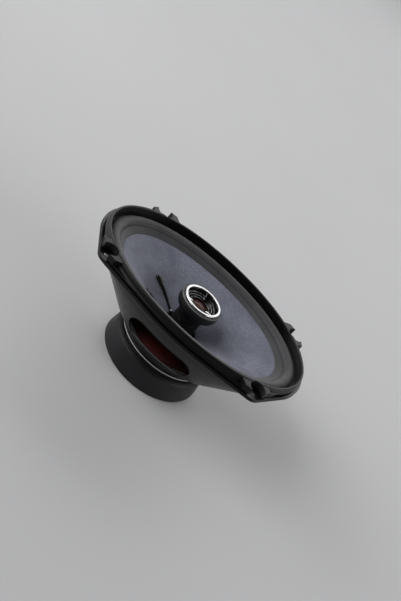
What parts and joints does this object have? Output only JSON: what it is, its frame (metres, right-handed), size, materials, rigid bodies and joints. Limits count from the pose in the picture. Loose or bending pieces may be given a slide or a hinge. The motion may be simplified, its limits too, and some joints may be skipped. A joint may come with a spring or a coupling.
{
  "type": "coaxial car speaker",
  "caption": "Oval 6 x 9 inch two-way coaxial car speaker: pressed basket, ring-magnet motor in a rubber boot, woven cone and a dome tweeter on a post.",
  "frame": {"origin": "on the speaker's axis at the back face of the magnet boot, the lowest face", "axes": "+Z along the speaker's axis, the way the cone faces; +X along the oval's long axis; +Y along its short axis, towards the terminal side"},
  "size_m": [0.2356, 0.1616, 0.0946],
  "materials": {
    "basket_paint": "gloss black",
    "trim_plastic": "satin black",
    "surround_rubber": "matte dark grey",
    "cone_fibre": "satin blue-grey, finely speckled",
    "cement": "glossy black",
    "former": "satin tan",
    "copper": "bare copper",
    "spider_cloth": "dark red varnished cloth",
    "plate_steel": "plated",
    "ferrite": "matte black ceramic",
    "boot_rubber": "matte",
    "housing_plastic": "satin black",
    "horn_gloss": "gloss",
    "chrome": "mirror",
    "dome_film": "translucent red-brown film",
    "board": "matt board",
    "tab_brass": "bare",
    "tab_steel": "tinned",
    "capacitor_sleeve": "gloss sleeve",
    "cable_sleeve": "matte"
  },
  "bodies": {
    "frame": {"basket_frame": "basket_paint", "gasket_ring": "trim_plastic", "surround": "surround_rubber", "spider": "spider_cloth", "front_plate": "plate_steel", "magnet_ring": "ferrite", "back_plate_and_pole": "plate_steel", "base_rivet_1": "plate_steel", "base_rivet_2": "plate_steel", "base_rivet_3": "plate_steel", "base_rivet_4": "plate_steel", "magnet_boot": "boot_rubber", "tweeter_post": "housing_plastic", "post_washer": "plate_steel", "post_screw": "plate_steel", "tweeter_housing": "housing_plastic", "tweeter_pot": "plate_steel", "tweeter_magnet": "chrome", "tweeter_top_plate": "plate_steel", "tweeter_edge_ring": "board", "tweeter_horn": "horn_gloss", "tweeter_bezel": "trim_plastic", "tweeter_chrome_ring": "chrome", "terminal_board": "board", "terminal_positive": "tab_brass", "terminal_negative": "tab_steel", "board_rivet_1": "plate_steel", "board_rivet_2": "plate_steel", "tweeter_capacitor": "capacitor_sleeve", "coil_lead_1": "copper", "coil_lead_2": "copper", "tweeter_cable": "cable_sleeve"},
    "cone_assembly": {"cone": "cone_fibre", "voice_coil_former": "former", "voice_coil_winding": "copper", "coil_lead_cover_1": "cement", "coil_lead_cover_2": "cement"},
    "tweeter_diaphragm": {"tweeter_dome": "dome_film", "tweeter_voice_coil": "copper"}
  },
  "joints": [
    {"name": "cone_travel", "type": "slide", "parent": "frame", "child": "cone_assembly", "axis": [0, 0, 1], "range_m": [-0.004, 0.004], "stiffness_N_per_m": 3000, "deforming": ["surround", "spider", "coil_lead_1", "coil_lead_2"]},
    {"name": "dome_travel", "type": "slide", "parent": "frame", "child": "tweeter_diaphragm", "axis": [0, 0, 1], "range_m": [-0.0003, 0.0003], "stiffness_N_per_m": 200}
  ]
}
